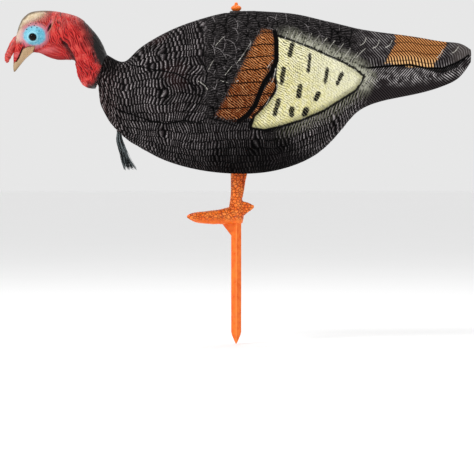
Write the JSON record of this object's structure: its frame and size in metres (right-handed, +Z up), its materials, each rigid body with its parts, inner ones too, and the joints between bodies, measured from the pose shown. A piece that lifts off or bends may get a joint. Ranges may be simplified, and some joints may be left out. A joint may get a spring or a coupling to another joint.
{
  "type": "turkey decoy",
  "caption": "Male turkey decoy: hollow foam body halves swivelling on a moulded foot stake, with a turning head and a swinging beard.",
  "frame": {"origin": "on the stake's axis at ground level, under the foot", "axes": "+Z up along the stake, -X towards the beak, +Y to the bird's right"},
  "size_m": [0.8582, 0.1802, 0.629],
  "materials": {
    "foam": "matte, painted",
    "vinyl": "satin, painted",
    "eye": "glossy",
    "bristle": "matte fibre",
    "orange_plastic": "semi-gloss",
    "black_plastic": "matte",
    "spring_steel": "bright",
    "post_rod": "matte"
  },
  "bodies": {
    "stake": {"leg_stake": "orange_plastic"},
    "post": {"post": "post_rod"},
    "knob": {"top_knob": "orange_plastic"},
    "shell": {"shell_left": "foam", "shell_right": "foam", "back_grommet": "black_plastic", "grommet_washer": "black_plastic", "collar_ring": "black_plastic", "beard_pin": "black_plastic"},
    "head": {"head_and_neck": "vinyl", "snood": "vinyl", "eye_left": "eye", "eye_right": "eye", "neck_plug": "black_plastic", "plug_retainer": "spring_steel"},
    "beard": {"beard": "bristle", "beard_ferrule": "black_plastic"}
  },
  "joints": [
    {"name": "post_pull", "type": "slide", "parent": "stake", "child": "post", "axis": [0, 0, 1], "range_m": [0, 0.06]},
    {"name": "knob_pull", "type": "slide", "parent": "post", "child": "knob", "axis": [0, 0, 1], "range_m": [0, 0.012]},
    {"name": "shell_swivel", "type": "hinge", "parent": "post", "child": "shell", "pos_m": [0, 0, 0.384], "axis": [0, 0, 1], "continuous": true},
    {"name": "head_turn", "type": "hinge", "parent": "shell", "child": "head", "pos_m": [-0.2485, 0, 0.2805], "axis": [-0.9432, 0, 0.3322], "range_deg": [-35, 35]},
    {"name": "beard_swing", "type": "hinge", "parent": "shell", "child": "beard", "pos_m": [-0.216, 0, 0.186], "axis": [0, 1, 0], "range_deg": [-12, 25]}
  ]
}
